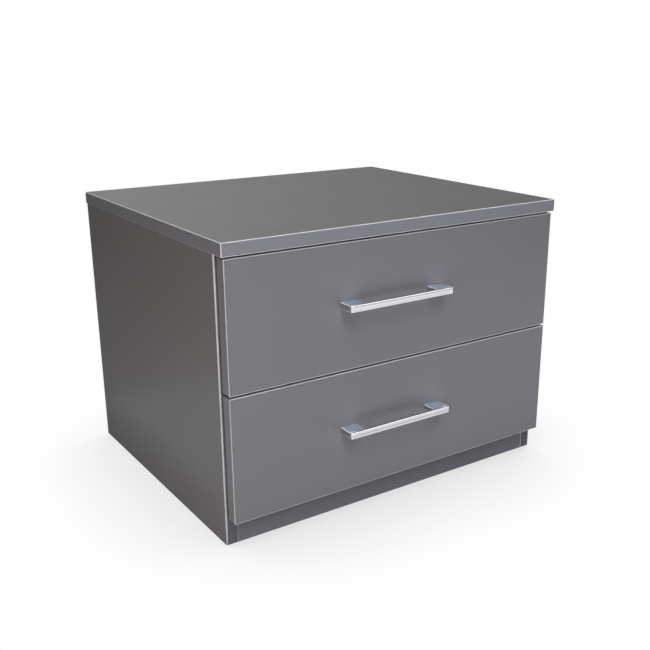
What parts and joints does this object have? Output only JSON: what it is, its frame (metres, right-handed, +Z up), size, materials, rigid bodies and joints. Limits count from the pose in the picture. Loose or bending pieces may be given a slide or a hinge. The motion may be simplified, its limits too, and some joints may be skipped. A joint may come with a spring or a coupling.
{
  "type": "bedside cabinet",
  "caption": "Low bedside cabinet in graphite laminate: overhanging top, sides to the floor, drawers with bar handles on roller runners.",
  "frame": {"origin": "on the floor, under the middle of the overall width and of the overall depth with handles", "axes": "+X to the right as seen from the front, +Y to the back, +Z up"},
  "size_m": [0.5, 0.444, 0.37],
  "materials": {
    "graphite_laminate": "satin melamine film on chipboard",
    "graphite_edge_band": "satin edge band, one millimetre",
    "white_laminate": "satin white melamine film on chipboard",
    "white_hardboard": "white lacquered hardboard, brown where it is cut",
    "chrome_plate": "polished chrome plate",
    "white_enamel": "white powder-coated sheet steel",
    "nylon": "natural nylon",
    "zinc_plated_steel": "bright zinc plate",
    "zinc_casting": "raw zinc die casting",
    "beech_dowel": "bare beech"
  },
  "bodies": {
    "carcass": {"top_panel": "graphite_laminate", "left_side_panel": "graphite_laminate", "right_side_panel": "graphite_laminate", "bottom_panel": "graphite_laminate", "plinth_board": "graphite_laminate", "top_edge_bands": "graphite_edge_band", "carcass_edge_bands": "graphite_edge_band", "back_panel": "white_hardboard", "back_panel_nails": "zinc_plated_steel", "carcass_cam_locks": "zinc_casting", "carcass_cam_bolts": "zinc_plated_steel", "carcass_dowels": "beech_dowel", "cabinet_roller_axles": "zinc_plated_steel", "cabinet_runner_screws": "zinc_plated_steel", "lower_left_cabinet_runner": "white_enamel", "lower_right_cabinet_runner": "white_enamel", "upper_left_cabinet_runner": "white_enamel", "upper_right_cabinet_runner": "white_enamel"},
    "lower_drawer": {"lower_drawer_front": "graphite_laminate", "lower_drawer_front_bands": "graphite_edge_band", "lower_drawer_handle_bar": "chrome_plate", "lower_drawer_handle_feet": "chrome_plate", "lower_drawer_handle_screws": "zinc_plated_steel", "lower_drawer_left_side": "white_laminate", "lower_drawer_right_side": "white_laminate", "lower_drawer_back": "white_laminate", "lower_drawer_bottom": "white_hardboard", "lower_drawer_left_runner": "white_enamel", "lower_drawer_right_runner": "white_enamel", "lower_drawer_roller_axles": "zinc_plated_steel", "lower_drawer_runner_screws": "zinc_plated_steel", "lower_drawer_box_screws": "zinc_plated_steel", "lower_drawer_cam_locks": "zinc_casting", "lower_drawer_cam_bolts": "zinc_plated_steel"},
    "lower_left_cabinet_roller": {"lower_left_cabinet_roller": "nylon"},
    "lower_left_drawer_roller": {"lower_left_drawer_roller": "nylon"},
    "lower_right_cabinet_roller": {"lower_right_cabinet_roller": "nylon"},
    "lower_right_drawer_roller": {"lower_right_drawer_roller": "nylon"},
    "upper_drawer": {"upper_drawer_front": "graphite_laminate", "upper_drawer_front_bands": "graphite_edge_band", "upper_drawer_handle_bar": "chrome_plate", "upper_drawer_handle_feet": "chrome_plate", "upper_drawer_handle_screws": "zinc_plated_steel", "upper_drawer_left_side": "white_laminate", "upper_drawer_right_side": "white_laminate", "upper_drawer_back": "white_laminate", "upper_drawer_bottom": "white_hardboard", "upper_drawer_left_runner": "white_enamel", "upper_drawer_right_runner": "white_enamel", "upper_drawer_roller_axles": "zinc_plated_steel", "upper_drawer_runner_screws": "zinc_plated_steel", "upper_drawer_box_screws": "zinc_plated_steel", "upper_drawer_cam_locks": "zinc_casting", "upper_drawer_cam_bolts": "zinc_plated_steel"},
    "upper_left_cabinet_roller": {"upper_left_cabinet_roller": "nylon"},
    "upper_left_drawer_roller": {"upper_left_drawer_roller": "nylon"},
    "upper_right_cabinet_roller": {"upper_right_cabinet_roller": "nylon"},
    "upper_right_drawer_roller": {"upper_right_drawer_roller": "nylon"}
  },
  "joints": [
    {"name": "lower_drawer_slide", "type": "slide", "parent": "carcass", "child": "lower_drawer", "axis": [0, -1, 0], "range_m": [0, 0.25]},
    {"name": "lower_left_cabinet_roller_turn", "type": "hinge", "parent": "carcass", "child": "lower_left_cabinet_roller", "pos_m": [-0.22895, -0.165, 0.07565], "axis": [1, 0, 0], "range_deg": [0, 1592]},
    {"name": "lower_left_drawer_roller_turn", "type": "hinge", "parent": "lower_drawer", "child": "lower_left_drawer_roller", "pos_m": [-0.22655, 0.156, 0.07315], "axis": [1, 0, 0], "range_deg": [0, 1592]},
    {"name": "lower_right_cabinet_roller_turn", "type": "hinge", "parent": "carcass", "child": "lower_right_cabinet_roller", "pos_m": [0.22895, -0.165, 0.07565], "axis": [1, 0, 0], "range_deg": [0, 1592]},
    {"name": "lower_right_drawer_roller_turn", "type": "hinge", "parent": "lower_drawer", "child": "lower_right_drawer_roller", "pos_m": [0.22655, 0.156, 0.07315], "axis": [1, 0, 0], "range_deg": [0, 1592]},
    {"name": "upper_drawer_slide", "type": "slide", "parent": "carcass", "child": "upper_drawer", "axis": [0, -1, 0], "range_m": [0, 0.25]},
    {"name": "upper_left_cabinet_roller_turn", "type": "hinge", "parent": "carcass", "child": "upper_left_cabinet_roller", "pos_m": [-0.22895, -0.165, 0.23515], "axis": [1, 0, 0], "range_deg": [0, 1592]},
    {"name": "upper_left_drawer_roller_turn", "type": "hinge", "parent": "upper_drawer", "child": "upper_left_drawer_roller", "pos_m": [-0.22655, 0.156, 0.23265], "axis": [1, 0, 0], "range_deg": [0, 1592]},
    {"name": "upper_right_cabinet_roller_turn", "type": "hinge", "parent": "carcass", "child": "upper_right_cabinet_roller", "pos_m": [0.22895, -0.165, 0.23515], "axis": [1, 0, 0], "range_deg": [0, 1592]},
    {"name": "upper_right_drawer_roller_turn", "type": "hinge", "parent": "upper_drawer", "child": "upper_right_drawer_roller", "pos_m": [0.22655, 0.156, 0.23265], "axis": [1, 0, 0], "range_deg": [0, 1592]}
  ],
  "couplings": [
    {"joint": "lower_left_cabinet_roller_turn", "follows": "lower_drawer_slide", "rad_per_m": 111.11},
    {"joint": "lower_left_drawer_roller_turn", "follows": "lower_drawer_slide", "rad_per_m": 111.11},
    {"joint": "lower_right_cabinet_roller_turn", "follows": "lower_drawer_slide", "rad_per_m": 111.11},
    {"joint": "lower_right_drawer_roller_turn", "follows": "lower_drawer_slide", "rad_per_m": 111.11},
    {"joint": "upper_left_cabinet_roller_turn", "follows": "upper_drawer_slide", "rad_per_m": 111.11},
    {"joint": "upper_left_drawer_roller_turn", "follows": "upper_drawer_slide", "rad_per_m": 111.11},
    {"joint": "upper_right_cabinet_roller_turn", "follows": "upper_drawer_slide", "rad_per_m": 111.11},
    {"joint": "upper_right_drawer_roller_turn", "follows": "upper_drawer_slide", "rad_per_m": 111.11}
  ]
}
